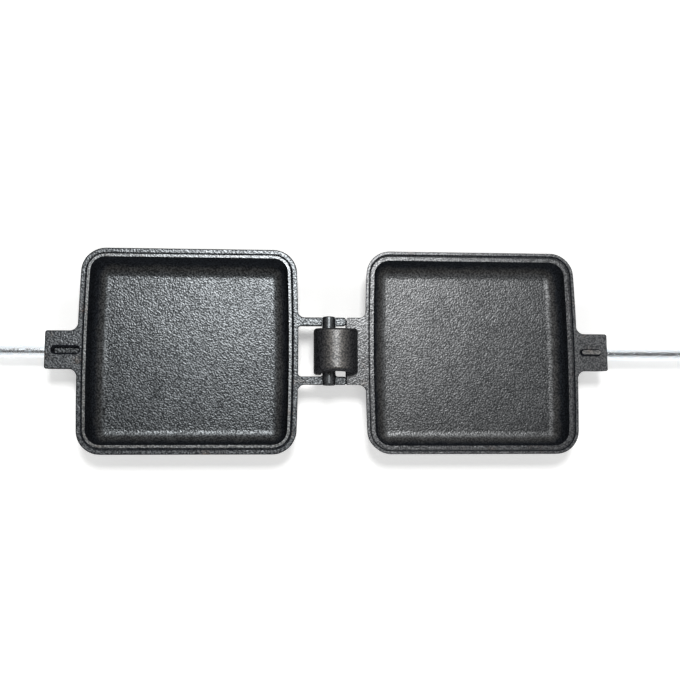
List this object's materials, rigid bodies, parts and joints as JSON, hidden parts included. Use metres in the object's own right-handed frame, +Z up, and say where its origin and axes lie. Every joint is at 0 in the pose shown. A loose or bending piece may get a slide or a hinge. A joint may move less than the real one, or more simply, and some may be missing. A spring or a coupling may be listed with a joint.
{
  "type": "pie iron",
  "caption": "Cast-iron pie iron for campfire toasties: square pans that fold shut on a hook hinge, long steel rods, wooden grips and a wire latch.",
  "frame": {"origin": "on the table, under the middle of the hinge axis", "axes": "+X along the rods towards the half with the hook, +Y along the hinge away from the viewer of the picture, +Z up"},
  "size_m": [1.41, 0.102, 0.027],
  "materials": {
    "cast_iron": "raw sand-cast, ground faces",
    "rod_steel": "bright zinc plate",
    "spring_wire": "bright zinc plate",
    "grip_wood": "oiled beech"
  },
  "bodies": {
    "left_half": {"left_pan": "cast_iron", "left_rod": "rod_steel", "left_grip": "grip_wood", "left_ferrule": "rod_steel", "left_grip_pin": "rod_steel", "latch_collars": "rod_steel"},
    "right_half": {"right_pan": "cast_iron", "right_rod": "rod_steel", "right_grip": "grip_wood", "right_ferrule": "rod_steel", "right_grip_pin": "rod_steel"},
    "latch": {"latch_hook": "spring_wire"}
  },
  "joints": [
    {"name": "pan_hinge", "type": "hinge", "parent": "left_half", "child": "right_half", "pos_m": [0, 0, 0.0165], "axis": [0, -1, 0], "range_deg": [0, 180]},
    {"name": "latch_turn", "type": "hinge", "parent": "left_half", "child": "latch", "pos_m": [-0.555, 0, 0.0095], "axis": [-1, 0, 0], "range_deg": [0, 101.43]}
  ]
}
